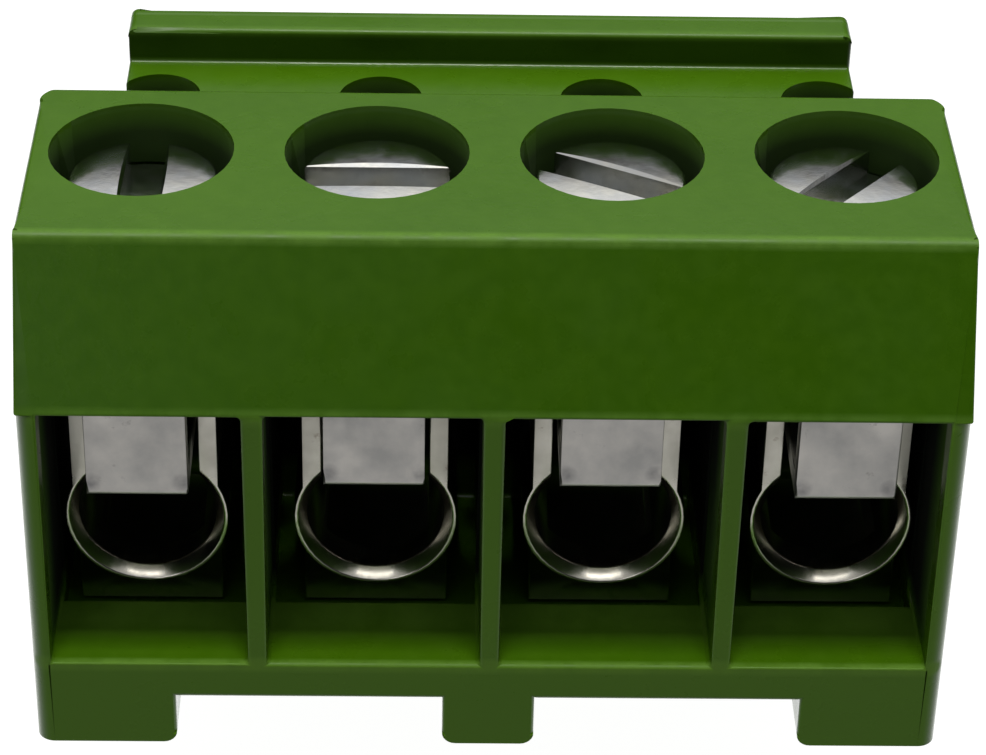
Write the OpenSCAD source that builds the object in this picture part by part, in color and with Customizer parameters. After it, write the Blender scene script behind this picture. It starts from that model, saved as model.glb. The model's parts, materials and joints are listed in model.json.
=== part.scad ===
// Four-pole rising-clamp screw terminal block for a circuit board.
//
// Millimetres. +X runs along the row of poles, -Y faces the wires, +Z is up.
// The origin lies on the board's surface, in the middle of the row of solder pins.
//
// Each pole works by itself: its screw stands on a fixed contact bar and turns in
// the threaded top of a steel clamp, so the clamp climbs and lifts the wire against
// the underside of the bar.

/* [Row of poles] */
// Distance between neighbouring poles
pitch = 5.08; // [5:0.01:6.35]
// Distance from the outermost poles to the ends of the housing
end_reach = 2.4; // [2.3:0.02:3]

/* [Housing] */
// Height of the flat top above the board
top_z = 12.16; // [12:0.02:14]
// Distance from the solder pins forward to the screws
screw_to_pin = 4.64; // [4.5:0.02:6]
// Distance from the screws forward to the front face
front_reach = 5.26; // [5.1:0.02:6]
// Depth of the flat top, from front edge to back edge
top_depth = 6.24; // [6.1:0.02:7.5]
// Depth of the low rear part behind the flat top
rear_depth = 4.52; // [4.3:0.02:6]
// How far the label band leans forward from the top edge to its lower edge
band_lean = 1.72; // [1:0.02:2]
// Height of the roof of the wire entries, which is the band's lower edge
entry_top_z = 8.74; // [8.6:0.02:9.2]
// Thickness of the partitions at the roof of the wire entries
partition_t = 0.46; // [0.4:0.02:0.7]
// Thickness of the two end walls at the same height
end_wall_t = 0.45; // [0.4:0.01:0.7]
// How much each side of a wire entry opens out from roof to sill
entry_draft = 0.03; // [0:0.01:0.1]
// Radius of the upright front corners below the band
front_corner_r = 0.4; // [0.1:0.05:0.45]
// Radius of the upright back corners
back_corner_r = 0.6; // [0.2:0.05:1]
// Radius of the top's front and back edges
top_edge_r = 0.16; // [0.05:0.01:0.3]

/* [Sill and feet] */
// Height of the sill in front of the clamps
sill_z = 2.2; // [1.9:0.05:2.4]
// Depth of the sill, from the front face to its back edge
sill_depth = 2.26; // [1.6:0.02:2.4]
// Height of the front feet, and of the gap between them
foot_h = 1.29; // [0.8:0.01:1.4]
// Depth of the gap between the front feet
foot_depth = 2.4; // [1.9:0.1:4]
// Width of each end foot
end_foot_w = 3.12; // [2:0.02:4]
// Width of the middle foot
mid_foot_w = 2.04; // [1.5:0.02:3]
// Radius of the lower inner corners of the feet
foot_corner_r = 0.3; // [0.1:0.05:0.5]

/* [Rear platform] */
// Height of the shoulders at both ends of the platform
shoulder_z = 9.4; // [8.5:0.1:9.8]
// Height of the platform
platform_z = 10.94; // [10.2:0.02:11.2]
// How far each end of the platform stands in from the end walls
platform_inset = 1.6; // [0.5:0.02:1.8]
// Height of the ridge along the back edge
ridge_z = 11.78; // [11.3:0.02:12]
// Thickness of the ridge
ridge_t = 1; // [0.6:0.05:1.3]
// Radius of the ridge's two upper corners
ridge_corner_r = 0.2; // [0.05:0.05:0.3]
// Radius of the test-probe holes over the solder pins
probe_r = 0.95; // [0.85:0.05:1.2]

/* [Clamping screw] */
// Radius of the screw holes in the top
screw_hole_r = 2; // [1.9:0.05:2.2]
// Radius of the screw head
head_r = 1.64; // [1.6:0.02:1.8]
// Height of the screw head, to the middle of its crowned face
head_h = 0.82; // [0.8:0.01:1.2]
// How far the head's face rises from its rim to its middle
head_crown = 0.06; // [0.05:0.01:0.2]
// Depth of the head's middle below the housing's top
head_recess = 0.55; // [0.3:0.01:0.7]
// Radius of the head's rounded rim
head_edge_r = 0.1; // [0.05:0.05:0.3]
// Width of the screwdriver slot
slot_w = 0.85; // [0.6:0.05:1]
// Depth of the screwdriver slot
slot_depth = 0.65; // [0.4:0.05:0.7]
// Outer radius of the screw's thread
thread_r = 1.25; // [1:0.05:1.3]
// How far each screw sits below its full height
screw_drop = [0.13, 0.02, 0, 0.08]; // [0:0.01:0.2]
// Direction of each slot, turned from the row
slot_turn = [89, 0, -28, 49]; // [-90:1:90]

/* [Rising clamp] */
// Radius of the round opening for the wire
ring_r = 1.52; // [1.4:0.01:1.6]
// How far the opening's mouth flares out beyond that radius
ring_flare = 0.22; // [0.1:0.01:0.3]
// Depth of the flared mouth
flare_depth = 0.26; // [0.1:0.01:0.4]
// Width of the flat rim round the mouth
ring_rim = 0.08; // [0.05:0.01:0.15]
// Height of the opening's centre with the clamp down
ring_z = 4.22; // [4.1:0.02:4.4]
// Depth of the collar that stands out in front of the clamp's body
collar_depth = 0.5; // [0.4:0.05:0.6]
// Thickness of the plate behind the collar
plate_t = 0.5; // [0.3:0.05:0.8]
// Width of each upright strap
strap_w = 0.42; // [0.3:0.02:0.6]
// Distance from the screw's axis to the clamp's front
clamp_front = 2.55; // [2.3:0.01:2.6]
// Distance from the screw's axis to the clamp's back
clamp_back = 2.04; // [1.9:0.02:2.2]
// Width of the clamp's base
base_w = 3.2; // [2.6:0.05:3.3]
// Height of the clamp's base above the board with the clamp down
base_z = 1.58; // [1.5:0.02:1.7]
// Thickness of the clamp's base
base_t = 0.55; // [0.4:0.05:0.6]
// Thickness of the clamp's threaded top
nut_t = 1.12; // [0.8:0.01:1.2]

/* [Contact] */
// Width of the contact bar and of its front lip
bar_w = 2.17; // [1.8:0.01:2.2]
// Thickness of the bar
bar_t = 0.5; // [0.4:0.02:0.6]
// Height of the bar's underside
bar_z = 6.34; // [6.25:0.01:6.5]
// Distance from the front face back to the lip
lip_inset = 0.93; // [0.8:0.01:1.2]
// How far the lip reaches up behind the band
lip_tuck = 0.4; // [0.2:0.05:0.6]
// Outer radius of the bend between bar and lip
bend_r = 0.2; // [0.15:0.05:0.5]
// How far each bar sits below its full height
bar_drop = [0.32, 0.02, 0.02, 0.29]; // [0:0.01:0.34]

/* [Solder pin] */
// Radius of the pin's tail
pin_r = 0.5; // [0.4:0.05:0.6]
// Radius of the pin's thicker stem inside the housing
stem_r = 0.7; // [0.65:0.05:0.9]
// Length of the tail below the board's surface
tail_length = 3.5; // [2.5:0.1:5]
// Radius of the riveted head on the bar
rivet_r = 0.75; // [0.6:0.05:0.8]
// Height of the riveted head
rivet_h = 0.2; // [0.1:0.05:0.3]
// How far the bar runs on behind the riveted head
bar_margin = 0.15; // [0.05:0.05:0.3]

/* [Clearances] */
// Gap between the clamp and the walls of its chamber
chamber_gap = 0.13; // [0.1:0.01:0.3]
// Gap on each side of the bar between the clamp's straps
strap_gap = 0.11; // [0.05:0.01:0.2]
// Radial gap between the screw's thread and the clamp
thread_gap = 0.05; // [0.02:0.01:0.1]
// Gap between the screw's tip and the bar
tip_gap = 0.02; // [0.01:0.01:0.05]
// Gap between the threaded top and what it meets at either end of its travel
stop_gap = 0.1; // [0.05:0.01:0.2]
// Gap round the bar inside the housing
seat_gap = 0.03; // [0.01:0.01:0.1]
// Headroom over the riveted head
rivet_gap = 0.25; // [0.2:0.05:0.4]

/* [Hidden] */

$fn = 64;
POLES = 4;
EPS = 0.01;                 // overlap of two shapes that only just meet
OVER = 1;                   // overshoot of a cut or a joint past the face that it meets
ARC_STEPS = 6;              // straight runs in a small rounded edge
GREEN = [0.33, 0.46, 0.2];
STEEL = [0.72, 0.72, 0.69];
TIN = [0.62, 0.61, 0.58];
BRIGHT_TIN = [0.78, 0.78, 0.76];

// Housing, along X
body_w = (POLES - 1) * pitch + 2 * end_reach;
platform_w = body_w - 2 * platform_inset;

// Housing, along Y
screw_y = -screw_to_pin;
front_y = screw_y - front_reach;
top_front_y = front_y + band_lean;
top_back_y = top_front_y + top_depth;
back_y = top_back_y + rear_depth;
clamp_front_y = screw_y - clamp_front;
clamp_back_y = screw_y + clamp_back;
chamber_back_y = clamp_back_y + chamber_gap;
sill_back_y = min(front_y + sill_depth, clamp_front_y - chamber_gap);
lip_y = front_y + lip_inset;
bar_end_y = rivet_r + bar_margin;

// Heights
bar_top_z = bar_z + bar_t;
chamber_floor_z = base_z - chamber_gap;
clamp_floor_z = base_z + base_t;
nut_z = bar_top_z + stop_gap;
nut_top_z = nut_z + nut_t;
head_top_z = top_z - head_recess;
head_under_z = head_top_z - head_h;
clamp_lift = head_under_z - max(screw_drop) - stop_gap - nut_top_z;
chamber_top_z = nut_top_z + clamp_lift + chamber_gap;
lip_top_z = entry_top_z + lip_tuck;
bar_slot_top_z = bar_top_z + rivet_h + rivet_gap;

mouth_r = ring_r + ring_flare;
clamp_slot_w = bar_w + 2 * strap_gap;
clamp_w = clamp_slot_w + 2 * strap_w;
wash_depth = 0.4;           // height of the pockets that keep solder flux off the seat
wash_w = 3;                 // their width
least_bend = 0.1;           // smallest inner radius of the contact's bend

// X of pole i, counted from 0 at the -X end
function pole_x(i) = (i - (POLES - 1) / 2) * pitch;

// Points of an arc of radius r about c, from angle a0 to angle a1
function arc(c, r, a0, a1) =
    [for (k = [0 : ARC_STEPS])
        let (a = a0 + (a1 - a0) * k / ARC_STEPS)
        c + r * [cos(a), sin(a)]];

// Extrudes an outline drawn in Y and Z along X, centred on the origin
module extrude_x(width)
    translate([-width / 2, 0, 0])
        rotate([90, 0, 90])
            linear_extrude(width) children();

// Extrudes an outline drawn in X and Z along Y, from y0 to y1
module extrude_y(y0, y1)
    translate([0, y1, 0])
        rotate([90, 0, 0])
            linear_extrude(y1 - y0) children();

// Block between two opposite corners
module block(low, high)
    translate(low) cube(high - low);

// Cuts an upright corner round. The corner lies at the origin with material at +x and +y.
module corner_cutter(r, height)
    difference() {
        translate([-r, -r, 0]) cube([2 * r, 2 * r, height]);
        translate([r, r, -EPS]) cylinder(r = r, h = height + 2 * EPS);
    }

// ---------------------------------------------------------------- housing

// Side outline at full width: strip, leaning band, flat top, shoulders and seat
module body_outline() {
    lean = atan2(band_lean, top_z - entry_top_z);
    front_tangent = top_edge_r * tan((90 - lean) / 2);
    polygon(concat(
        [[front_y, foot_h], [front_y, entry_top_z]],
        arc([top_front_y + front_tangent, top_z - top_edge_r], top_edge_r, 180 - lean, 90),
        arc([top_back_y - top_edge_r, top_z - top_edge_r], top_edge_r, 90, 0),
        [
            [top_back_y, shoulder_z], [back_y, shoulder_z], [back_y, 0],
            [front_y + foot_depth, 0], [front_y + foot_depth, foot_h]
        ]
    ));
}

// Side outline of the narrower rear platform and its ridge
module platform_outline()
    polygon([
        [top_back_y - OVER, shoulder_z - OVER], [top_back_y - OVER, platform_z],
        [back_y - ridge_t, platform_z], [back_y - ridge_t, ridge_z],
        [back_y, ridge_z], [back_y, shoulder_z - OVER]
    ]);

// Front outline of a foot from x0 to x1. A round_ value of 1 rounds that lower corner.
module foot_outline(x0, x1, round_left, round_right) {
    r = foot_corner_r;
    polygon(concat(
        [[x0, foot_h + EPS]],
        round_left ? arc([x0 + r, r], r, 180, 270) : [[x0, 0]],
        round_right ? arc([x1 - r, r], r, 270, 360) : [[x1, 0]],
        [[x1, foot_h + EPS]]
    ));
}

module front_feet()
    extrude_y(front_y, front_y + foot_depth + EPS) {
        foot_outline(-body_w / 2, -body_w / 2 + end_foot_w, false, true);
        foot_outline(-mid_foot_w / 2, mid_foot_w / 2, true, true);
        foot_outline(body_w / 2 - end_foot_w, body_w / 2, true, false);
    }

// Left and right walls of a wire entry at its roof, for pole i
function entry_left(i) = i == 0 ? -body_w / 2 + end_wall_t : pole_x(i) - (pitch - partition_t) / 2;
function entry_right(i) = i == POLES - 1 ? body_w / 2 - end_wall_t : pole_x(i) + (pitch - partition_t) / 2;

// Everything cut out of the housing for pole i
module pole_cuts(i) {
    x = pole_x(i);
    left = entry_left(i);
    right = entry_right(i);
    // wire entry over the sill, a little wider at the bottom
    extrude_y(front_y - OVER, clamp_front_y + chamber_gap)
        polygon([
            [left - entry_draft, sill_z], [left, entry_top_z],
            [right, entry_top_z], [right + entry_draft, sill_z]
        ]);
    // chamber that the clamp travels in
    block([left, sill_back_y, chamber_floor_z], [right, chamber_back_y, entry_top_z]);
    block(
        [x - clamp_w / 2 - chamber_gap, clamp_front_y - chamber_gap, entry_top_z - OVER],
        [x + clamp_w / 2 + chamber_gap, chamber_back_y, chamber_top_z]
    );
    // screw hole
    translate([x, screw_y, chamber_top_z - OVER])
        cylinder(r = screw_hole_r, h = top_z - chamber_top_z + 2 * OVER);
    // pocket behind the band for the top of the contact's lip
    block(
        [x - bar_w / 2 - seat_gap, lip_y - seat_gap, entry_top_z - OVER],
        [x + bar_w / 2 + seat_gap, lip_y + bar_t + seat_gap, lip_top_z + seat_gap]
    );
    // slot for the bar, from the lowest of the bars up to the headroom over the rivets
    block(
        [x - bar_w / 2 - seat_gap, chamber_back_y - OVER, bar_z - max(bar_drop)],
        [x + bar_w / 2 + seat_gap, bar_end_y + seat_gap, bar_slot_top_z]
    );
    // test-probe hole over the pin, stem hole under the bar, wash pocket round the tail
    translate([x, 0, bar_slot_top_z - EPS]) cylinder(r = probe_r, h = top_z - bar_slot_top_z);
    translate([x, 0, -EPS]) cylinder(r = stem_r, h = bar_z);
    block([x - wash_w / 2, -stem_r - OVER, -EPS], [x + wash_w / 2, back_y + EPS, wash_depth]);
}

module housing()
    color(GREEN)
        difference() {
            union() {
                extrude_x(body_w) body_outline();
                extrude_x(platform_w) platform_outline();
                front_feet();
            }
            for (i = [0 : POLES - 1]) pole_cuts(i);
            for (side = [0, 1])
                mirror([side, 0, 0]) {
                    translate([-body_w / 2, front_y, -EPS])
                        corner_cutter(front_corner_r, entry_top_z + EPS);
                    translate([-body_w / 2, top_back_y, shoulder_z])
                        mirror([0, 1, 0]) corner_cutter(back_corner_r, top_z);
                    translate([-body_w / 2, back_y, -EPS])
                        mirror([0, 1, 0]) corner_cutter(back_corner_r, top_z);
                    translate([-platform_w / 2, back_y + EPS, ridge_z])
                        rotate([90, 0, 0]) mirror([0, 1, 0])
                            corner_cutter(ridge_corner_r, ridge_t + 2 * EPS);
                }
        }

// ---------------------------------------------------------------- screws

// Screw on its own axis, with its tip on z = 0 and its slot along X
module screw_piece() {
    tip_z = bar_top_z + tip_gap;
    under = head_under_z - tip_z;
    top = head_top_z - tip_z;
    tip_chamfer = 0.25;
    face_r = head_r - head_edge_r;
    crown_r = (face_r * face_r + head_crown * head_crown) / (2 * head_crown);
    difference() {
        rotate_extrude()
            polygon(concat(
                [
                    [0, 0], [thread_r - tip_chamfer, 0], [thread_r, tip_chamfer],
                    [thread_r, under], [head_r, under]
                ],
                arc([face_r, top - head_crown - head_edge_r], head_edge_r, 0, 90),
                arc([0, top - crown_r], crown_r, acos(face_r / crown_r), 90)
            ));
        translate([-head_r - OVER, -slot_w / 2, top - slot_depth])
            cube([2 * (head_r + OVER), slot_w, slot_depth + OVER]);
    }
}

module screw(i)
    color(BRIGHT_TIN)
        translate([pole_x(i), screw_y, bar_top_z + tip_gap - screw_drop[i]])
            rotate([0, 0, slot_turn[i]]) screw_piece();

// ---------------------------------------------------------------- clamps

// Front outline of the clamp: two straps that swell into a ring over a flat base
module clamp_outline(bottom_w, bottom_z) {
    translate([0, ring_z]) circle(r = mouth_r + ring_rim);
    translate([-clamp_w / 2, ring_z]) square([clamp_w, nut_top_z - ring_z]);
    if (bottom_w > 0)
        translate([-bottom_w / 2, bottom_z]) square([bottom_w, ring_z - bottom_z]);
}

// Keyhole that the wire and the bar pass through
module keyhole_outline() {
    translate([0, ring_z]) circle(r = ring_r);
    translate([-clamp_slot_w / 2, ring_z]) square([clamp_slot_w, nut_z - ring_z]);
}

module clamp_piece() {
    trough_w = base_w - 2 * strap_w;
    difference() {
        union() {
            extrude_y(clamp_front_y, clamp_front_y + collar_depth + EPS)
                clamp_outline(0, 0);
            extrude_y(clamp_front_y + collar_depth, clamp_back_y)
                clamp_outline(base_w, base_z);
        }
        extrude_y(clamp_front_y - OVER, clamp_back_y + OVER) keyhole_outline();
        // flared mouth
        translate([0, clamp_front_y - EPS, ring_z])
            rotate([-90, 0, 0]) cylinder(r1 = mouth_r, r2 = ring_r, h = flare_depth + EPS);
        // trough behind the plate, where the wire's end lies
        block(
            [-trough_w / 2, clamp_front_y + collar_depth + plate_t, clamp_floor_z],
            [trough_w / 2, clamp_back_y + OVER, ring_z]
        );
        // threaded hole at the thread's outer radius, drilled on down between the straps
        translate([0, screw_y, ring_z])
            cylinder(r = thread_r + thread_gap, h = nut_top_z - ring_z + EPS);
    }
}

module clamp(i)
    color(STEEL)
        translate([pole_x(i), 0, 0]) clamp_piece();

// ---------------------------------------------------------------- contacts and pins

// Side outline of the bar, bent up at its front into the lip
module contact_outline() {
    inner_r = max(bend_r - bar_t, least_bend);
    polygon(concat(
        [[bar_end_y, bar_z], [bar_end_y, bar_top_z]],
        arc([lip_y + bar_t + inner_r, bar_top_z + inner_r], inner_r, 270, 180),
        [[lip_y + bar_t, lip_top_z], [lip_y, lip_top_z]],
        arc([lip_y + bend_r, bar_z + bend_r], bend_r, 180, 270)
    ));
}

// Radius of the pin's spigot, which goes through the bar
spigot_r = pin_r - 0.05;

module contact(i)
    color(TIN)
        translate([pole_x(i), 0, -bar_drop[i]])
            difference() {
                extrude_x(bar_w) contact_outline();
                translate([0, 0, bar_z - EPS]) cylinder(r = spigot_r, h = bar_t + 2 * EPS);
            }

// Turned pin: tail, stem, spigot through the bar and riveted head
module solder_pin(i) {
    tip_r = pin_r * 0.6;
    tip_h = 0.4;
    color(BRIGHT_TIN)
        translate([pole_x(i), 0, -bar_drop[i]])
            rotate_extrude()
                polygon([
                    [0, -tail_length], [tip_r, -tail_length], [pin_r, tip_h - tail_length],
                    [pin_r, wash_depth], [stem_r, wash_depth], [stem_r, bar_z],
                    [spigot_r, bar_z], [spigot_r, bar_top_z], [rivet_r, bar_top_z],
                    [rivet_r, bar_top_z + rivet_h / 2], [rivet_r * 0.6, bar_top_z + rivet_h],
                    [0, bar_top_z + rivet_h]
                ]);
}

housing();
screw(0);  // screw_1
screw(1);  // screw_2
screw(2);  // screw_3
screw(3);  // screw_4
clamp(0);  // clamp_1
clamp(1);  // clamp_2
clamp(2);  // clamp_3
clamp(3);  // clamp_4
contact(0);  // contact_1
contact(1);  // contact_2
contact(2);  // contact_3
contact(3);  // contact_4
solder_pin(0);  // solder_pin_1
solder_pin(1);  // solder_pin_2
solder_pin(2);  // solder_pin_3
solder_pin(3);  // solder_pin_4
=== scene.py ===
"""Dresses a four-pole screw terminal block with rising clamps for a circuit board.

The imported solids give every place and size. Each sub-assembly is a class that builds its
meshes in metres and gives them their finish.
"""
import json
import logging
import math
from dataclasses import dataclass, replace
from enum import Enum
from typing import Callable

import bmesh
import bpy
from mathutils import Matrix, Vector

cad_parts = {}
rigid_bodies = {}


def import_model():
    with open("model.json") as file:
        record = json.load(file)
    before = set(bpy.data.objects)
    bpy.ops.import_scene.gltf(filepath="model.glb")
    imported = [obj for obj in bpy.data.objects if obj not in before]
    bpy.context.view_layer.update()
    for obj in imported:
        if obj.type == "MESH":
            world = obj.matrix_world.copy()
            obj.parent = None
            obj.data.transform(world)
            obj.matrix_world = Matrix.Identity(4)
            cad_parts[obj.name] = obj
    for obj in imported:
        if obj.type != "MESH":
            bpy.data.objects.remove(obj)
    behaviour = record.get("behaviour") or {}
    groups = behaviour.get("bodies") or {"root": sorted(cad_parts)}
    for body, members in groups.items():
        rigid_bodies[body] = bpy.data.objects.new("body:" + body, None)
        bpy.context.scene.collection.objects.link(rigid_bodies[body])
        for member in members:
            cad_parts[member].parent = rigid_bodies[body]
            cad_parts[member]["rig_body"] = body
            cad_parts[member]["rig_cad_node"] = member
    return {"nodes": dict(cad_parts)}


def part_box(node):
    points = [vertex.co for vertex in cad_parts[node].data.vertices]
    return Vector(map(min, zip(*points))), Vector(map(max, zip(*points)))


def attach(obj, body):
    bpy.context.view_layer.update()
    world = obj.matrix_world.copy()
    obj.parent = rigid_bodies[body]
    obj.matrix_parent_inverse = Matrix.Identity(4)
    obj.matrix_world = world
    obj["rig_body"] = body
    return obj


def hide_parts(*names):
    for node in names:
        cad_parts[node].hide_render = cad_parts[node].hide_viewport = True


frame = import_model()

log = logging.getLogger("terminal_block")
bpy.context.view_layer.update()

Socket = bpy.types.NodeSocket
Colour = tuple[float, float, float]

MM = 0.001
POLES = (1, 2, 3, 4)
PITCH = 5.08 * MM

# Places of the moulding's features, in millimetres.
END_X = 10.02           # end faces, to either side of the block's middle
CHAMBER_X = 2.31        # faces of the partitions, to either side of a pole's middle
FRONT_Y = -9.90         # upright front faces
BAND_Y = -8.18          # upper edge of the leaning band
SCREW_Y = -4.64         # middle of the screw wells
PROBE_Y = 0.0           # middle of the probe holes
RIDGE_Y = 1.58          # front face of the rear ridge
REAR_Y = 2.58           # rear face
SILL_Z = 2.20           # sill of the wire chambers
ROOF_Z = 8.74           # lower edge of the leaning band
PLATFORM_Z = 10.94      # platform with the probe holes
RIDGE_Z = 11.78         # top of the rear ridge
TOP_Z = 12.16           # top of the block

FACING = 0.9                        # least share of a normal that points along an axis
SHARP_ANGLE = math.radians(20)      # edges from this angle on get rounded
SMOOTH_ANGLE = math.radians(25)     # edges up to this angle are shaded smooth
FLAT_ANGLE = math.radians(0.5)      # triangles up to this angle make one flat face
MERGE_DISTANCE = 1e-6


# ---------------------------------------------------------------- mesh helpers

def release() -> None:
    """Leaves edit mode and deselects every object."""
    if bpy.context.object and bpy.context.object.mode != "OBJECT":
        bpy.ops.object.mode_set(mode="OBJECT")
    bpy.ops.object.select_all(action="DESELECT")


def take(piece: bpy.types.Object) -> bpy.types.Object:
    """Makes a piece the only selected object, and the active one.

    Args:
        piece: The piece.

    Returns:
        The same piece.
    """
    release()
    piece.select_set(True)
    bpy.context.view_layer.objects.active = piece
    return piece


def named(name: str) -> bpy.types.Object:
    """Names the object that a primitive has just made, and its mesh.

    Args:
        name: The name of both.

    Returns:
        The object.
    """
    piece = bpy.context.object
    piece.name = name
    piece.data.name = name
    return piece


def settle(piece: bpy.types.Object) -> bpy.types.Object:
    """Moves a piece's place, turn and scale into its mesh.

    Args:
        piece: The piece.

    Returns:
        The same piece, which now sits at the origin.
    """
    take(piece)
    bpy.ops.object.transform_apply(location=True, rotation=True, scale=True)
    return piece


def pick(piece: bpy.types.Object, kind: str, test: Callable[[object], bool]) -> None:
    """Selects parts of a mesh in edit mode, by a test of each.

    Args:
        piece: The mesh object, which is taken into edit mode.
        kind: "VERT", "EDGE" or "FACE".
        test: Says whether one bmesh element is wanted.
    """
    take(piece)
    bpy.ops.object.mode_set(mode="EDIT")
    bpy.ops.mesh.select_mode(type=kind)
    bpy.ops.mesh.select_all(action="DESELECT")
    shape = bmesh.from_edit_mesh(piece.data)
    for part in {"VERT": shape.verts, "EDGE": shape.edges, "FACE": shape.faces}[kind]:
        if test(part):
            part.select_set(True)
    bmesh.update_edit_mesh(piece.data)


def apply_all(piece: bpy.types.Object) -> bpy.types.Object:
    """Applies a piece's modifiers, in their order.

    Args:
        piece: The piece.

    Returns:
        The same piece.
    """
    take(piece)
    for modifier in list(piece.modifiers):
        bpy.ops.object.modifier_apply(modifier=modifier.name)
    return piece


def smooth(piece: bpy.types.Object) -> bpy.types.Object:
    """Shades a piece smooth over its small roundings, and keeps its flat faces flat.

    Args:
        piece: The piece.

    Returns:
        The same piece.
    """
    take(piece)
    bpy.ops.object.shade_smooth_by_angle(angle=SMOOTH_ANGLE)
    weighted = piece.modifiers.new("flat_faces", "WEIGHTED_NORMAL")
    weighted.keep_sharp = True
    weighted.weight = 100
    return apply_all(piece)


def solid_copy(node: str, name: str) -> bpy.types.Object:
    """Copies a node's loose triangles into a closed mesh with whole flat faces.

    Args:
        node: The node to copy.
        name: The new piece's name.

    Returns:
        The new mesh object.
    """
    piece = frame["nodes"][node].copy()
    piece.data = piece.data.copy()
    piece.parent = None
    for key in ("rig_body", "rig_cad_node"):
        if key in piece:
            del piece[key]
    bpy.context.scene.collection.objects.link(piece)
    piece.name = piece.data.name = name
    piece.data.materials.clear()
    take(piece)
    bpy.ops.object.mode_set(mode="EDIT")
    bpy.ops.mesh.customdata_custom_splitnormals_clear()
    bpy.ops.mesh.select_all(action="SELECT")
    bpy.ops.mesh.remove_doubles(threshold=MERGE_DISTANCE)
    bpy.ops.mesh.dissolve_limited(angle_limit=FLAT_ANGLE)
    bpy.ops.mesh.quads_convert_to_tris(quad_method="BEAUTY", ngon_method="BEAUTY")
    bpy.ops.object.mode_set(mode="OBJECT")
    return piece


def round_edges(piece: bpy.types.Object, width: float,
                share: Callable[[bmesh.types.BMEdge], float] = lambda edge: 1.0,
                segments: int = 4) -> bpy.types.Object:
    """Rounds the sharp edges.

    Args:
        piece: The mesh object.
        width: The rounding's full width in metres.
        share: Says which share of the width one edge gets, from 0 to 1.
        segments: Faces across the rounding.

    Returns:
        The same object.
    """
    shape = bmesh.new()
    shape.from_mesh(piece.data)
    weight = shape.edges.layers.float.new("bevel_weight_edge")
    for edge in shape.edges:
        sharp = len(edge.link_faces) == 2 and edge.calc_face_angle(0.0) > SHARP_ANGLE
        edge[weight] = share(edge) if sharp else 0.0
    shape.to_mesh(piece.data)
    shape.free()
    rounding = piece.modifiers.new("rounding", "BEVEL")
    rounding.limit_method = "WEIGHT"
    rounding.width = width
    rounding.segments = segments
    rounding.use_clamp_overlap = False
    rounding.miter_outer = "MITER_SHARP"
    return apply_all(piece)


# ---------------------------------------------------------------- material kit

class Axis(Enum):
    """How a place on the block is measured."""

    ACROSS = "from the middle of its pole"
    SIDE = "from the middle of the block, to either side"
    ALONG = "from the solder pins towards the back"
    UP = "from the board upwards"


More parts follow.
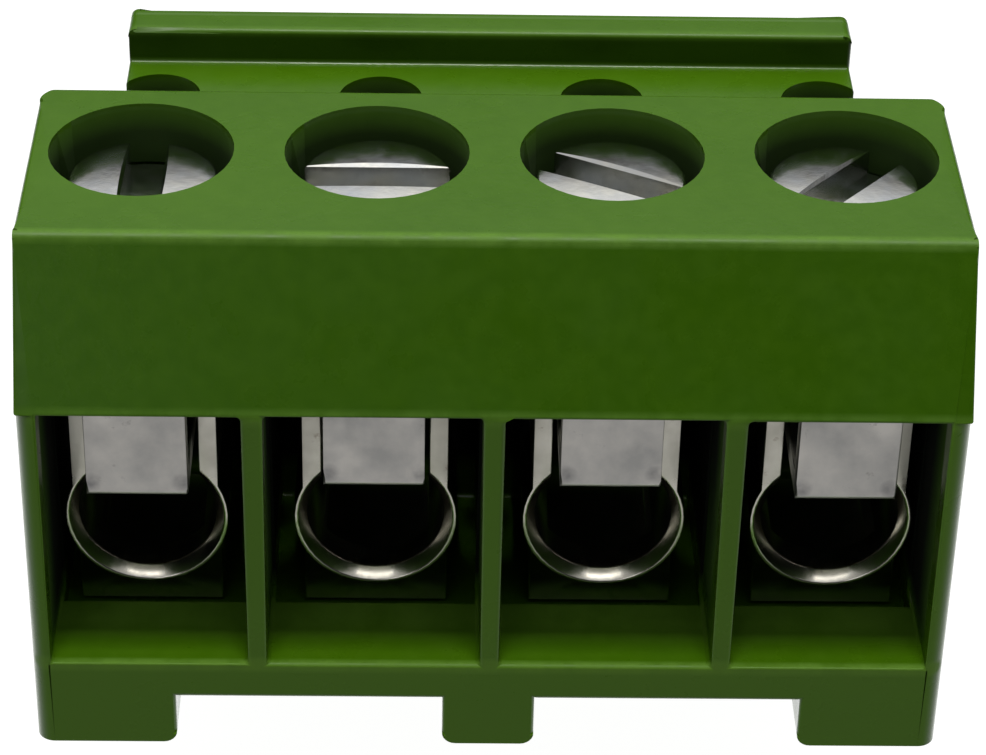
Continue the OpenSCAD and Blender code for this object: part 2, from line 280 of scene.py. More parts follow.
class Nodes:
    """A small hand on a material's node tree."""

    def __init__(self, name: str) -> None:
        """Starts a material with a Principled shader on Object coordinates.

        Args:
            name: The material's name.
        """
        self.material = bpy.data.materials.new(name)
        self.material.use_nodes = True
        self.tree = self.material.node_tree
        self.tree.nodes.clear()
        out = self.add("ShaderNodeOutputMaterial")
        self.shader = self.add("ShaderNodeBsdfPrincipled")
        self.link(self.shader.outputs[0], out, "Surface")
        self.coords = self.add("ShaderNodeTexCoord").outputs["Object"]
        self.axes: dict[Axis, Socket] = {}

    def add(self, kind: str, **settings: object) -> bpy.types.Node:
        """Adds a node.

        Args:
            kind: The node's type.
            settings: Its properties by name.

        Returns:
            The node.
        """
        node = self.tree.nodes.new(kind)
        for key, value in settings.items():
            setattr(node, key, value)
        return node

    def link(self, source: Socket, node: bpy.types.Node, name: str | int) -> None:
        """Links a socket to a named or numbered input of a node."""
        self.tree.links.new(source, node.inputs[name])

    def feed(self, node: bpy.types.Node, name: str | int, value: object) -> None:
        """Gives an input of a node either a link or a fixed value.

        Args:
            node: The node.
            name: The input's name or number.
            value: A socket, or the value to set.
        """
        if isinstance(value, Socket):
            self.link(value, node, name)
        else:
            node.inputs[name].default_value = value

    def set(self, **values: object) -> None:
        """Sets the shader's own inputs, whose names have underscores for spaces."""
        for key, value in values.items():
            self.shader.inputs[key.replace("_", " ")].default_value = value

    def ramp(self, source: Socket, low: float, high: float,
             least: float = 0.0, most: float = 1.0) -> Socket:
        """Maps a range of a value to another range, clamped at both ends.

        Args:
            source: The value.
            low: The value that gives the first end.
            high: The value that gives the other end.
            least: The result at the first end.
            most: The result at the other end.

        Returns:
            The mapped value.
        """
        node = self.add("ShaderNodeMapRange", clamp=True)
        for key, value in zip(("Value", "From Min", "From Max", "To Min", "To Max"),
                              (source, low, high, least, most)):
            self.feed(node, key, value)
        return node.outputs["Result"]

    def math(self, operation: str, *values: Socket | float) -> Socket:
        """Joins values by one operation, from the first to the last.

        Args:
            operation: The math node's operation.
            values: Numbers or sockets, of which one is enough for a root.

        Returns:
            The result.
        """
        result, *others = values
        for other in others or [0.0]:
            node = self.add("ShaderNodeMath", operation=operation)
            self.feed(node, 0, result)
            self.feed(node, 1, other)
            result = node.outputs[0]
        return result

    def blend(self, factor: Socket, first: Socket | Colour, second: Colour) -> Socket:
        """Mixes a colour into another.

        Args:
            factor: The second colour's share.
            first: A colour, or the socket of one.
            second: The colour that is mixed in.

        Returns:
            The mixed colour.
        """
        node = self.add("ShaderNodeMix", data_type="RGBA")
        self.link(factor, node, "Factor")
        self.feed(node, 6, first if isinstance(first, Socket) else (*first, 1.0))
        self.feed(node, 7, (*second, 1.0))
        return node.outputs[2]

    def axis(self, axis: Axis) -> Socket:
        """Gives a point's place on one axis of the block.

        Args:
            axis: The axis.

        Returns:
            The place in metres.
        """
        if axis not in self.axes:
            split = self.add("ShaderNodeSeparateXYZ")
            self.link(self.coords, split, 0)
            x, y, z = split.outputs
            if axis is Axis.ACROSS:
                folded = self.math("PINGPONG", x, PITCH / 2)
                self.axes[axis] = self.math("SUBTRACT", PITCH / 2, folded)
            elif axis is Axis.SIDE:
                self.axes[axis] = self.math("ABSOLUTE", x)
            else:
                self.axes[axis] = y if axis is Axis.ALONG else z
        return self.axes[axis]

    def bump(self, height: Socket, distance: float, strength: float) -> None:
        """Raises the surface by a height pattern.

        Args:
            height: The pattern.
            distance: The rise in metres where the pattern is 1.
            strength: How much of it shows.
        """
        node = self.add("ShaderNodeBump")
        for key, value in zip(("Height", "Distance", "Strength"), (height, distance, strength)):
            self.feed(node, key, value)
        self.link(node.outputs[0], self.shader, "Normal")


@dataclass(frozen=True)
class Pattern:
    """A noise pattern, with the range of it that is kept and what that becomes."""

    cells_per_metre: float
    octaves: float
    finer: float
    stretch: tuple[float, float, float] = (1.0, 1.0, 1.0)
    low: float = 0.0
    high: float = 1.0
    least: float = 0.0
    most: float = 1.0

    def draw(self, kit: Nodes) -> Socket:
        """Adds the pattern to a material.

        Args:
            kit: The material's nodes.

        Returns:
            The pattern's value.
        """
        mapping = kit.add("ShaderNodeMapping")
        kit.feed(mapping, "Vector", kit.coords)
        kit.feed(mapping, "Scale", self.stretch)
        noise = kit.add("ShaderNodeTexNoise")
        for key, value in zip(("Vector", "Scale", "Detail", "Roughness"),
                              (mapping.outputs[0], self.cells_per_metre, self.octaves,
                               self.finer)):
            kit.feed(noise, key, value)
        return kit.ramp(noise.outputs["Fac"], self.low, self.high, self.least, self.most)


@dataclass(frozen=True)
class Zone:
    """A region of the block with soft borders, its places and radii in millimetres.

    Each fade is an axis, the place where the zone is not yet there and the place where it is
    whole. A zone with a centre is round about it as well, on the centre's two axes.
    """

    fades: tuple[tuple[Axis, float, float], ...] = ()
    centre: tuple[tuple[Axis, float], ...] = ()
    gone: float = 0.0
    whole: float = 0.0
    share: float = 1.0

    def mask(self, kit: Nodes) -> Socket:
        """Adds the zone to a material.

        Args:
            kit: The material's nodes.

        Returns:
            A value from 0 outside to the zone's share inside.
        """
        masks = [kit.ramp(kit.axis(axis), gone * MM, whole * MM)
                 for axis, gone, whole in self.fades]
        if self.centre:
            offsets = [kit.math("SUBTRACT", kit.axis(axis), place * MM)
                       for axis, place in self.centre]
            squares = [kit.math("MULTIPLY", offset, offset) for offset in offsets]
            reach = kit.math("SQRT", kit.math("ADD", *squares))
            masks.append(kit.ramp(reach, self.gone * MM, self.whole * MM))
        return kit.math("MULTIPLY", self.share, *masks)


# The narrow zone along a long edge where a highlight is painted.
def highlit_edge(along: float, up: float, share: float) -> Zone:
    """Gives the narrow zone of a long edge that runs across the block.

    Args:
        along: The edge's place on the Y axis in millimetres.
        up: Its height in millimetres.
        share: How strong the painted highlight on it is.

    Returns:
        The zone.
    """
    return Zone(centre=((Axis.ALONG, along), (Axis.UP, up)), gone=0.24, whole=0.12, share=share)


# Painted shade: a round hole in each pole darkens from its mouth downwards.
def well(along: float, radius: float, bottom: float, top: float, share: float) -> Zone:
    """Gives the zone of a round upright hole in each pole, which deepens over 0.7 mm.

    Args:
        along: The holes' place on the Y axis in millimetres.
        radius: Their radius.
        bottom: Height of their lower ends.
        top: Height of their mouths.
        share: The most that the zone reaches.

    Returns:
        The zone.
    """
    return Zone(fades=((Axis.UP, bottom - 0.1, bottom), (Axis.UP, top, top - 0.7)),
                centre=((Axis.ACROSS, 0.0), (Axis.ALONG, along)),
                gone=radius + 0.05, whole=radius + 0.02, share=share)


# ---------------------------------------------------------------- finishes

@dataclass(frozen=True)
class Polyamide:
    """Satin moulded polyamide with a fine grain, a faint flow pattern and dulled patches.

    The leaning band gets a darker tint as painted shade and the upright faces below it a lighter
    tint as painted light. The long edges get lighter, rougher patches as painted highlights, and
    the back of the sill the same as painted light. The chambers and holes darken inwards, and
    the ridge's front is darker, as painted shade.
    """

    colour: Colour = (0.041, 0.110, 0.0009)
    deep: Colour = (0.034, 0.096, 0.0006)
    scuffed: Colour = (0.060, 0.140, 0.006)
    # Lighter tint painted as highlights along the long edges and as light on the back of the
    # sill.
    highlight_tint: Colour = (0.108, 0.225, 0.022)
    # Darker tint of the leaning band: painted shade.
    band_shade_tint: Colour = (0.027, 0.082, 0.0004)
    # Lighter tint of the upright faces below the band: painted light.
    front_light_tint: Colour = (0.060, 0.150, 0.003)
    # Near-black tint painted as shade in the chambers, the holes and on the ridge's front.
    painted_shade: Colour = (0.0006, 0.0034, 0.0001)

    flow: Pattern = Pattern(260, 4, 0.6, (0.5, 1.0, 1.4), 0.3, 0.7)
    speck: Pattern = Pattern(2600, 2, 0.5, low=0.35, high=0.75, most=0.2)
    gloss: Pattern = Pattern(420, 5, 0.65, low=0.25, high=0.75, least=0.22, most=0.36)
    grain: Pattern = Pattern(9000, 2, 0.5, most=0.25)
    wave: Pattern = Pattern(350, 2, 0.5)
    patches: Pattern = Pattern(1300, 4, 0.7, (1.0, 0.6, 0.6), 0.35, 0.60, 0.45)

    # Zones painted darker inwards as shade: the wire chambers, the screw wells and the probe
    # holes.
    shaded: tuple[Zone, ...] = (
        Zone(((Axis.ACROSS, CHAMBER_X + 0.03, CHAMBER_X + 0.01),
              (Axis.ALONG, FRONT_Y + 0.4, FRONT_Y + 1.8),
              (Axis.ALONG, PROBE_Y + 0.5, PROBE_Y),
              (Axis.UP, SILL_Z + 0.05, SILL_Z + 0.50),
              (Axis.UP, ROOF_Z + 0.46, ROOF_Z + 0.06))),
        well(along=SCREW_Y, radius=2.0, bottom=ROOF_Z + 0.06, top=TOP_Z, share=0.75),
        well(along=PROBE_Y, radius=0.95, bottom=7.0, top=PLATFORM_Z, share=1.0))
    # The ridge's front face, painted darker as shade.
    ridge_foot: Zone = Zone(((Axis.ALONG, RIDGE_Y - 0.08, RIDGE_Y - 0.03),
                             (Axis.ALONG, RIDGE_Y + 0.06, RIDGE_Y + 0.02),
                             (Axis.UP, PLATFORM_Z + 0.01, PLATFORM_Z + 0.05),
                             (Axis.UP, RIDGE_Z - 0.04, RIDGE_Z - 0.18)), share=0.6)
    # Long edges painted lighter as highlights and the back of the sill painted lighter as light;
    # both are also rougher.
    painted_highlights: tuple[Zone, ...] = (
        highlit_edge(BAND_Y, TOP_Z, 0.8), highlit_edge(FRONT_Y, SILL_Z, 0.9),
        highlit_edge(FRONT_Y, ROOF_Z, 0.5), highlit_edge(RIDGE_Y, RIDGE_Z, 0.4),
        Zone(((Axis.ACROSS, CHAMBER_X + 0.07, CHAMBER_X + 0.05),
              (Axis.ALONG, FRONT_Y + 0.8, FRONT_Y + 1.6),
              (Axis.ALONG, FRONT_Y + 2.4, FRONT_Y + 2.3),
              (Axis.UP, SILL_Z - 0.10, SILL_Z - 0.05),
              (Axis.UP, SILL_Z + 0.10, SILL_Z + 0.05)), share=0.7))
    # The leaning band, whose darker tint is painted shade.
    band: Zone = Zone(((Axis.SIDE, END_X - 0.01, END_X - 0.06),
                       (Axis.ALONG, BAND_Y + 0.04, BAND_Y - 0.08),
                       (Axis.UP, ROOF_Z + 0.02, ROOF_Z + 0.06)))
    # The upright front faces below the band, whose lighter tint is painted light.
    front: Zone = Zone(((Axis.ALONG, FRONT_Y + 0.10, FRONT_Y + 0.02),
                        (Axis.UP, ROOF_Z - 0.02, ROOF_Z - 0.08)))
    ejector_marks: Zone = Zone(((Axis.ALONG, REAR_Y - 0.28, REAR_Y - 0.18),),
                               ((Axis.ACROSS, 0.0), (Axis.UP, 6.0)),
                               gone=0.90, whole=0.96, share=1.6)

    # Share of the painted highlight tint, and the roughness added with it.
    highlight_share: float = 0.6
    highlight_roughness: float = 0.42
    # Roughness where shade is painted.
    shade_roughness: float = 0.85
    relief: float = 0.018 * MM
    relief_strength: float = 0.5

    def material(self) -> bpy.types.Material:
        """Builds the material.

        Returns:
            The material.
        """
        kit = Nodes("green_polyamide")
        shadow = kit.math("MAXIMUM", *(zone.mask(kit) for zone in self.shaded))
        # Painted highlights and painted light, in patches.
        painted_highlights = kit.math("MULTIPLY", self.patches.draw(kit),
                        kit.math("MAXIMUM", *(zone.mask(kit) for zone in self.painted_highlights)))

        tone = kit.blend(self.flow.draw(kit), self.colour, self.deep)
        # The band's darker tint is painted shade.
        tone = kit.blend(self.band.mask(kit), tone, self.band_shade_tint)
        # The front faces' lighter tint is painted light.
        tone = kit.blend(self.front.mask(kit), tone, self.front_light_tint)
        tone = kit.blend(self.speck.draw(kit), tone, self.scuffed)
        # Painted highlights on the long edges and painted light on the back of the sill.
        tone = kit.blend(kit.math("MULTIPLY", painted_highlights, self.highlight_share), tone, self.highlight_tint)
        # Painted shade: the chambers, holes and ridge front are blended towards the near-black
        # tint.
        painted_shade = kit.math("MAXIMUM", shadow, self.ridge_foot.mask(kit))
        kit.link(kit.blend(painted_shade, tone, self.painted_shade), kit.shader, "Base Color")

        rough = kit.math("MAXIMUM", self.gloss.draw(kit),
                         kit.ramp(shadow, 0.0, 0.2, 0.0, self.shade_roughness))
        rough = kit.math("ADD", rough, kit.math("MULTIPLY", painted_highlights, self.highlight_roughness))
        kit.link(rough, kit.shader, "Roughness")

        relief = kit.math("ADD", self.grain.draw(kit), self.wave.draw(kit),
                          self.ejector_marks.mask(kit))
        kit.bump(relief, self.relief, self.relief_strength)
        kit.set(IOR=1.5, Specular_IOR_Level=0.24)
        return kit.material


@dataclass(frozen=True)
class PlatedSteel:
    """Plated metal with cloudy tint, fine scuffs and uneven gloss."""

    name: str
    light: Colour
    dull: Colour
    roughness: float
    spread: float
    drawn: tuple[float, float, float] = (1.0, 1.0, 1.0)
    stain: Colour | None = None
    satin: Zone | None = None
    # Dark spots painted as shade in the lips' lower corners, and their tint.
    corner_shades: tuple[Zone, ...] = ()
    corner_shade_tint: Colour = (0.10, 0.10, 0.12)

    clouds: Pattern = Pattern(900, 4, 0.6, low=0.32, high=0.68)
    spots: Pattern = Pattern(1500, 5, 0.7, low=0.625, high=0.725, most=0.6)
    scuffs: Pattern = Pattern(3800, 3, 0.6)
    relief: float = 0.006 * MM
    relief_strength: float = 0.35

    def material(self) -> bpy.types.Material:
        """Builds the material.

        Returns:
            The material.
        """
        kit = Nodes(self.name)
        cloud = self.clouds.draw(kit)
        scuff = replace(self.scuffs, stretch=self.drawn).draw(kit)

        tone = kit.blend(cloud, self.light, self.dull)
        if self.stain:
            tone = kit.blend(self.spots.draw(kit), tone, self.stain)
        # Painted shade in the lips' lower corners.
        if self.corner_shades:
            corner_shade = kit.math("MAXIMUM", *(zone.mask(kit) for zone in self.corner_shades))
            tone = kit.blend(kit.math("MULTIPLY", corner_shade, cloud), tone, self.corner_shade_tint)
        kit.link(tone, kit.shader, "Base Color")

        uneven = kit.math("MULTIPLY", kit.math("ADD", scuff, cloud), 0.5)
        rough = kit.ramp(uneven, 0.2, 0.8, self.roughness, self.roughness + self.spread)
        if self.satin:
            rough = kit.math("ADD", rough, self.satin.mask(kit))
        kit.link(rough, kit.shader, "Roughness")

        kit.bump(scuff, self.relief, self.relief_strength)
        kit.set(Metallic=1.0)
        return kit.material


def lip_corner_shade(up: float, side_gone: float, side_whole: float) -> Zone:
    """Gives the dark spot painted as shade in each lower corner of the contacts' lips, on some
    of the poles.

    Args:
        up: Its height in millimetres.
        side_gone: Distance from the block's middle where the smudged poles end.
        side_whole: Distance from the block's middle where they begin.

    Returns:
        The zone.
    """
    return Zone(((Axis.SIDE, side_gone, side_whole),), ((Axis.ACROSS, 0.96), (Axis.UP, up)),
                gone=0.26, whole=0.078, share=0.75)


class Finish(Enum):
    """The finishes of the block, each built once."""

    HOUSING = Polyamide()
    SCREW = PlatedSteel("bright_zinc", (0.62, 0.61, 0.55), (0.48, 0.50, 0.52), 0.08, 0.14)
    CLAMP = PlatedSteel("zinc_plated_clamp", (0.93, 0.90, 0.80), (0.80, 0.77, 0.67), 0.12, 0.12,
                        drawn=(1.0, 0.3, 1.0), stain=(0.30, 0.20, 0.14),
                        satin=Zone(((Axis.UP, 5.0, 5.6),), share=0.18))
    CONTACT = PlatedSteel("tinned_contact", (0.80, 0.77, 0.72), (0.60, 0.59, 0.57), 0.32, 0.16,
                          drawn=(1.0, 1.0, 0.3), stain=(0.30, 0.28, 0.27),
                          # Painted shade in the lips' lower corners, higher on the middle poles.
                          corner_shades=(lip_corner_shade(6.72, side_gone=5.08, side_whole=4.98),
                                   lip_corner_shade(6.42, side_gone=4.98, side_whole=5.08)))
    PIN = PlatedSteel("tinned_pin", (0.74, 0.73, 0.70), (0.60, 0.59, 0.57), 0.22, 0.16,
                      drawn=(1.0, 1.0, 0.3))

    def on(self, piece: bpy.types.Object) -> None:
        """Gives a piece this finish in every slot.

        Args:
            piece: The piece.
        """
        if self not in BUILT:
            BUILT[self] = self.value.material()
        if not piece.material_slots:
            piece.data.materials.append(BUILT[self])
        for slot in piece.material_slots:
            slot.material = BUILT[self]


BUILT: dict[Finish, bpy.types.Material] = {}


# ---------------------------------------------------------------- sub-assemblies

def report(piece: bpy.types.Object) -> None:
    """Reports a finished piece."""
    log.info("%s: %d faces", piece.name, len(piece.data.polygons))


@dataclass
class Housing:
    """The green moulding, whose sharp edges get the small roundings of its mould."""

    edge_width: float = 0.10 * MM
    least_edge: float = 0.3 * MM
    thin_wall: float = 0.6 * MM
    thin_share: float = 0.5

    def edge_share(self, edge: bmesh.types.BMEdge, low: Vector, high: Vector) -> float:
        """Says how much of the rounding an edge gets.

        Args:
            edge: The edge.
            low: The housing's lowest corner.
            high: Its highest corner.

        Returns:
            A share: none for short and bottom edges, less on the end walls' thin fronts.
        """
        if edge.calc_length() < self.least_edge:
            return 0.0
        if all(vert.co.z < low.z + self.edge_width for vert in edge.verts):
            return 0.0
        side = max(abs(vert.co.x) for vert in edge.verts)
        front = min(vert.co.y for vert in edge.verts)
        thin = side > high.x - self.thin_wall and front < low.y + self.thin_wall
        return self.thin_share if thin else 1.0

    def build(self) -> bpy.types.Object:
        """Models the moulding.

        Returns:
            The new piece, which stands for the CAD housing.
        """
        piece = solid_copy("housing", "housing_moulding")
        low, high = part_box("housing")
        round_edges(piece, self.edge_width, lambda edge: self.edge_share(edge, low, high))
        return smooth(piece)

    def dress(self, piece: bpy.types.Object) -> None:
        """Gives the moulding its finish and place in the assembly.

        Args:
            piece: The moulding.
        """
        Finish.HOUSING.on(piece)
        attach(piece, "block")
        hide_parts("housing")
        report(piece)


@dataclass
class ClampScrew:
    """A slotted clamping screw: crowned head, cut slot, threaded shank and chamfered tip."""

    head_radius: float = 1.64 * MM
    head_height: float = 0.82 * MM
    crown: float = 0.06 * MM
    crown_steps: int = 5
    rim: float = 0.08 * MM
    rim_steps: int = 4
    slot_width: float = 0.85 * MM
    slot_depth: float = 0.65 * MM
    slot_edge: float = 0.02 * MM
    slot_flare: float = 0.12 * MM
    core_radius: float = 0.99 * MM
    thread_radius: float = 1.25 * MM
    thread_pitch: float = 0.45 * MM
    thread_flank: float = 0.46
    thread_root: float = 0.05 * MM
    thread_steps: int = 48
    tip: float = 0.2 * MM
    sides: int = 72
    turns: tuple[float, ...] = (89, 0, -28, 49)

    def blank(self, length: float) -> bpy.types.Object:
        """Turns the headed blank, tip at the origin.

        Args:
            length: From the tip to the middle of the head's face.

        Returns:
            The blank.
        """
        under = length - self.head_height
        release()
        bpy.ops.mesh.primitive_cylinder_add(vertices=self.sides, radius=self.core_radius,
                                            depth=under, location=(0, 0, under / 2))
        piece = settle(named("clamping_screw"))
        pick(piece, "FACE", lambda face: face.normal.z < -FACING)
        bpy.ops.mesh.bevel(offset=self.tip, segments=1, affect="EDGES")
        pick(piece, "FACE", lambda face: face.normal.z > FACING)
        bpy.ops.mesh.extrude_region_move(TRANSFORM_OT_translate={"value": (0, 0, 0)})
        wide = self.head_radius / self.core_radius
        bpy.ops.transform.resize(value=(wide, wide, 1))
        bpy.ops.mesh.extrude_region_move(
            TRANSFORM_OT_translate={"value": (0, 0, self.head_height - self.crown)})
        bpy.ops.mesh.bevel(offset=self.rim, segments=self.rim_steps, affect="EDGES")
        self.raise_crown(piece)
        release()
        return piece

    def raise_crown(self, piece: bpy.types.Object) -> None:
        """Insets the head's flat face step by step and lifts each step to a shallow dome.

        Args:
            piece: The blank with a flat head.
        """
        pick(piece, "FACE", lambda face: face.normal.z > FACING and face.calc_area() > MM * MM)
        face_radius = self.head_radius - self.rim
        radius, height = face_radius, 0.0
        for step in range(1, self.crown_steps):
            inner = face_radius * (1 - step / self.crown_steps)
            rise = self.crown * (1 - (inner / face_radius) ** 2)
            bpy.ops.mesh.inset(thickness=radius - inner, depth=0)
            bpy.ops.transform.translate(value=(0, 0, rise - height))
            radius, height = inner, rise

    def cut_slot(self, piece: bpy.types.Object, length: float) -> None:
        """Saws the slot across the head, with its edges broken.

        Args:
            piece: The blank.
            length: From the tip to the middle of the head's face.
        """
        release()
        mouth = length - self.crown - self.slot_edge
        floor = length - self.slot_depth
        bpy.ops.mesh.primitive_cube_add(size=1, location=(0, 0, (floor + mouth) / 2))
        saw = named("saw")
        saw.scale = (3 * self.head_radius, self.slot_width, mouth - floor)
        settle(saw)
        pick(saw, "FACE", lambda face: face.normal.z > FACING)
        bpy.ops.mesh.extrude_region_move(
            TRANSFORM_OT_translate={"value": (0, 0, self.slot_flare)})
        wide = 1 + 2 * self.slot_flare / self.slot_width
        bpy.ops.transform.resize(value=(1, wide, 1))
        bpy.ops.mesh.extrude_region_move(TRANSFORM_OT_translate={"value": (0, 0, MM)})
        release()
        cut = piece.modifiers.new("slot", "BOOLEAN")
        cut.object, cut.operation, cut.solver = saw, "DIFFERENCE", "EXACT"
        apply_all(piece)
        bpy.data.objects.remove(saw)

    def thread(self, under: float) -> bpy.types.Object:
        """Winds the ridge of the thread round the core.

        Args:
            under: Height of the head's underside over the tip.

        Returns:
            The closed helical ridge.
        """
        release()
        bpy.ops.mesh.primitive_circle_add(vertices=3, radius=self.thread_radius,
                                          fill_type="NOTHING")
        ridge = named("thread")
        deep, half = self.core_radius - self.thread_root, self.thread_flank * self.thread_pitch
        corners = ((deep, -half), (self.thread_radius, 0.0), (deep, half))
        for vert, (out, up) in zip(ridge.data.vertices, corners):
            vert.co = (out, 0, up)
        wind = ridge.modifiers.new("helix", "SCREW")
        wind.axis, wind.steps, wind.render_steps = "Z", self.thread_steps, self.thread_steps
        wind.angle, wind.screw_offset = math.tau, self.thread_pitch
        wind.iterations = int((under - self.tip) / self.thread_pitch) - 1
        wind.use_normal_calculate = True
        apply_all(ridge)
        pick(ridge, "VERT", lambda vert: True)
        bpy.ops.mesh.fill_holes(sides=3)
        bpy.ops.mesh.select_all(action="SELECT")
        bpy.ops.mesh.normals_make_consistent(inside=False)
        bpy.ops.transform.translate(value=(0, 0, self.tip + half))
        release()
        return ridge

    def build(self) -> list[bpy.types.Object]:
        """Models one screw and copies it to each pole.

        Returns:
            The four screws, each turned and set as its own.
        """
        low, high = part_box("screw_1")
        length = high.z - low.z
        pattern = self.blank(length)
        self.cut_slot(pattern, length)
        smooth(pattern)
        ridge = self.thread(length - self.head_height)
        release()
        ridge.select_set(True)
        pattern.select_set(True)
        bpy.context.view_layer.objects.active = pattern
        bpy.ops.object.join()
        screws = []
        for pole, turn in zip(POLES, self.turns):
            take(pattern)
            bpy.ops.object.duplicate()
            piece = named(f"clamping_screw_{pole}")
            low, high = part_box(f"screw_{pole}")
            piece.rotation_euler = (0, 0, math.radians(turn))
            piece.location = ((low.x + high.x) / 2, (low.y + high.y) / 2, low.z)
            screws.append(settle(piece))
        bpy.data.objects.remove(pattern)
        return screws

    def dress(self, screws: list[bpy.types.Object]) -> None:
        """Gives each screw its finish and its body, and hides its node.

        Args:
            screws: The screws, from the first pole to the last.
        """
        for pole, piece in zip(POLES, screws):
            Finish.SCREW.on(piece)
            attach(piece, f"screw_{pole}")
            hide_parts(f"screw_{pole}")
            report(piece)


@dataclass
class Metalwork:
    """The clamps, contact bars and solder pins of all poles."""

    clamp_edge: float = 0.03 * MM
    contact_edge: float = 0.05 * MM

    def rounded(self, node: str, name: str, width: float) -> bpy.types.Object:
        """Copies a metal node with its sheared edges rounded off.

        Args:
            node: The node to copy.
            name: The new piece's name.
            width: The roundings' full width in metres.

        Returns:
            The new piece.
        """
        return smooth(round_edges(solid_copy(node, name), width))

    def build(self) -> None:
        """Models and dresses every metal piece, and dresses the pins as they are."""
        for pole in POLES:
            clamp = self.rounded(f"clamp_{pole}", f"clamp_cage_{pole}", self.clamp_edge)
            Finish.CLAMP.on(clamp)
            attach(clamp, f"clamp_{pole}")
            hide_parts(f"clamp_{pole}")
            report(clamp)
            contact = self.rounded(f"contact_{pole}", f"contact_bar_{pole}", self.contact_edge)
            Finish.CONTACT.on(contact)
            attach(contact, "block")
            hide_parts(f"contact_{pole}")
            report(contact)
            pin = frame["nodes"][f"solder_pin_{pole}"]
            Finish.PIN.on(pin)
            report(pin)


# ---------------------------------------------------------------- stage

@dataclass(frozen=True)
class Lamp:
    """A soft rectangular lamp that faces the block: metres and watts."""

    name: str
    place: tuple[float, float, float]
    size: tuple[float, float]
    power: float
    colour: Colour = (1.0, 1.0, 1.0)
    target: tuple[float, float, float] = (0.0, -0.004, 0.006)

    def hang(self) -> None:
        """Adds the lamp to the scene, unseen by the camera itself."""
        data = bpy.data.lights.new(self.name, "AREA")
        data.shape = "RECTANGLE"
        data.size, data.size_y = self.size
        data.energy = self.power
        data.color = self.colour
        lamp = bpy.data.objects.new(self.name, data)
        bpy.context.scene.collection.objects.link(lamp)
        lamp.location = self.place
        lamp.visible_camera = False
        aim = Vector(self.target) - Vector(self.place)
        lamp.rotation_euler = aim.to_track_quat("-Z", "Y").to_euler()


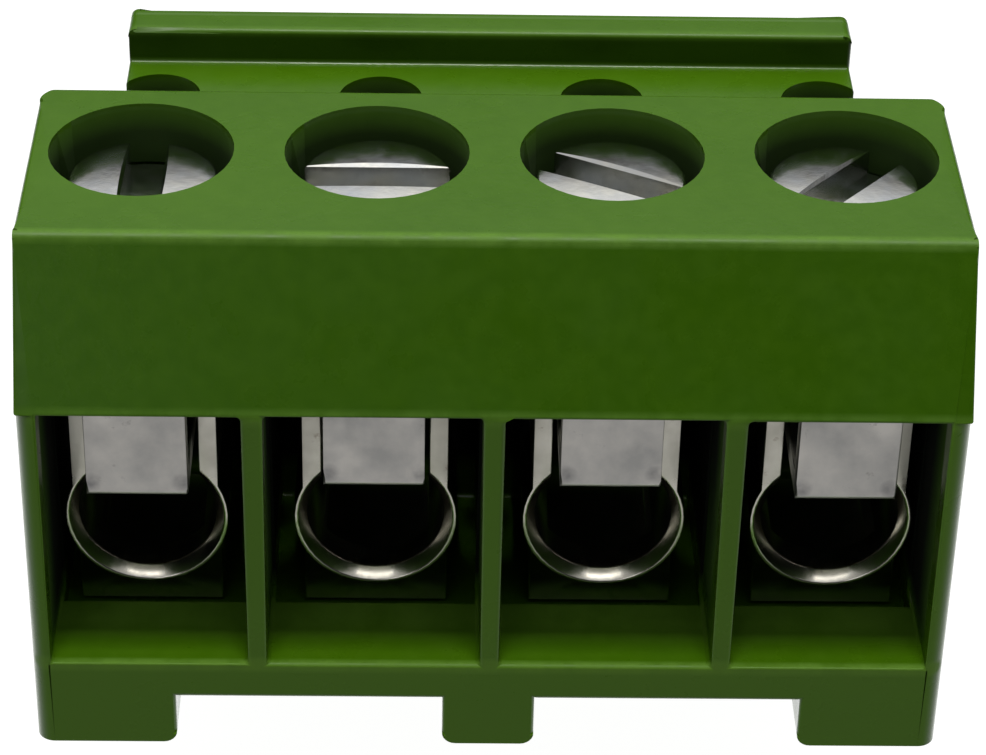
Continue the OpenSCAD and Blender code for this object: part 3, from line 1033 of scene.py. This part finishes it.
@dataclass
class Studio:
    """A pale floor, soft lights and the camera.

    The eye is in millimetres and the turns are in degrees. Each step of the sky is a
    direction's height, from -1 below to 1 above, and its brightness. The front fade is the
    direction's Y where the sky is dimmed, the Y where it is whole, and how far it is dimmed.
    """

    eye: tuple[float, float, float] = (-1.4826, -66.6844, 47.7746)
    pitch: float = 33.7476
    yaw: float = -1.4342
    roll: float = -1.3029
    lens: float = 120.7
    sensor: float = 36.0
    floor_z: float = -3.84 * MM
    floor_size: float = 2.0
    floor_colour: tuple[float, float, float, float] = (0.12, 0.12, 0.12, 1.0)
    floor_glow: float = 0.98
    lamps: tuple[Lamp, ...] = (
        Lamp("top_softbox", (0.0, -0.070, 0.50), (0.09, 0.06), 1.80, (1.0, 0.985, 0.95)),
        Lamp("front_card", (0.0, -0.21, 0.45), (0.36, 0.12), 0.20, (1.0, 0.98, 0.94)),
        Lamp("side_card", (-0.16, -0.46, 0.17), (0.16, 0.16), 0.09))
    sky_steps: tuple[tuple[float, float], ...] = (
        (-1.0, 1.30), (-0.45, 2.40), (-0.1, 0.40), (0.1, 0.04), (0.46, 0.06), (0.60, 1.30),
        (1.0, 1.90))
    front_fade: tuple[float, float, float] = (-0.55, 0.35, 0.20)

    def camera(self) -> None:
        """Places the camera."""
        data = bpy.data.cameras.new("camera")
        data.lens = self.lens
        data.sensor_width = self.sensor
        data.sensor_fit = "HORIZONTAL"
        data.clip_start, data.clip_end = 0.001, 10
        camera = bpy.data.objects.new("camera", data)
        bpy.context.scene.collection.objects.link(camera)
        down, turn, tilt = (math.radians(a) for a in (self.pitch, self.yaw, self.roll))
        look = Matrix(((1, 0, 0),
                       (0, -math.sin(down), -math.cos(down)),
                       (0, math.cos(down), -math.sin(down))))
        yaw = Matrix(((math.cos(turn), math.sin(turn), 0),
                      (-math.sin(turn), math.cos(turn), 0), (0, 0, 1)))
        roll = Matrix(((math.cos(tilt), math.sin(tilt), 0),
                       (-math.sin(tilt), math.cos(tilt), 0), (0, 0, 1)))
        rows = roll @ look @ yaw
        axes = Matrix((rows[0], -rows[1], -rows[2])).transposed()
        camera.matrix_world = Matrix.Translation(Vector(self.eye) * MM) @ axes.to_4x4()
        bpy.context.scene.camera = camera

    def floor(self) -> None:
        """Lays the pale floor that the pins stand on."""
        release()
        bpy.ops.mesh.primitive_grid_add(x_subdivisions=8, y_subdivisions=8,
                                        size=self.floor_size, location=(0, 0, self.floor_z))
        floor = named("floor")
        kit = Nodes("pale_floor")
        kit.set(Base_Color=self.floor_colour, Roughness=0.9,
                Emission_Color=(1, 1, 1, 1), Emission_Strength=self.floor_glow)
        floor.data.materials.append(kit.material)
        floor.visible_diffuse = floor.visible_glossy = False

    def sky(self) -> None:
        """Makes the room's light: dark at eye level and in front, bright overhead and behind."""
        world = bpy.data.worlds.new("studio")
        world.use_nodes = True
        nodes, links = world.node_tree.nodes, world.node_tree.links
        split = nodes.new("ShaderNodeSeparateXYZ")
        coords = nodes.new("ShaderNodeTexCoord")
        links.new(coords.outputs["Generated"], split.inputs[0])
        place = nodes.new("ShaderNodeMapRange")
        place.inputs["From Min"].default_value = -1.0
        links.new(split.outputs["Z"], place.inputs["Value"])
        ramp = nodes.new("ShaderNodeValToRGB")
        stops = ramp.color_ramp.elements
        while len(stops) < len(self.sky_steps):
            stops.new(0.5)
        for stop, (height, level) in zip(stops, self.sky_steps):
            stop.position = (height + 1) / 2
            stop.color = (level, level, level, 1)
        links.new(place.outputs["Result"], ramp.inputs["Fac"])
        fade = nodes.new("ShaderNodeMapRange")
        for key, value in zip(("From Min", "From Max", "To Min"), self.front_fade):
            fade.inputs[key].default_value = value
        links.new(split.outputs["Y"], fade.inputs["Value"])
        back = nodes["Background"]
        links.new(ramp.outputs["Color"], back.inputs["Color"])
        links.new(fade.outputs["Result"], back.inputs["Strength"])
        bpy.context.scene.world = world

    def build(self) -> None:
        """Sets up the camera, the floor, the lamps and the room's light."""
        self.camera()
        self.floor()
        for lamp in self.lamps:
            lamp.hang()
            log.info("%s hung", lamp.name)
        self.sky()
        bpy.context.scene.view_settings.view_transform = "Standard"


def main() -> None:
    """Builds and dresses the block, then the stage round it."""
    logging.basicConfig(level=logging.INFO, format="%(message)s")
    housing = Housing()
    housing.dress(housing.build())
    screws = ClampScrew()
    screws.dress(screws.build())
    Metalwork().build()
    Studio().build()
    release()


if __name__ == "__main__":
    main()
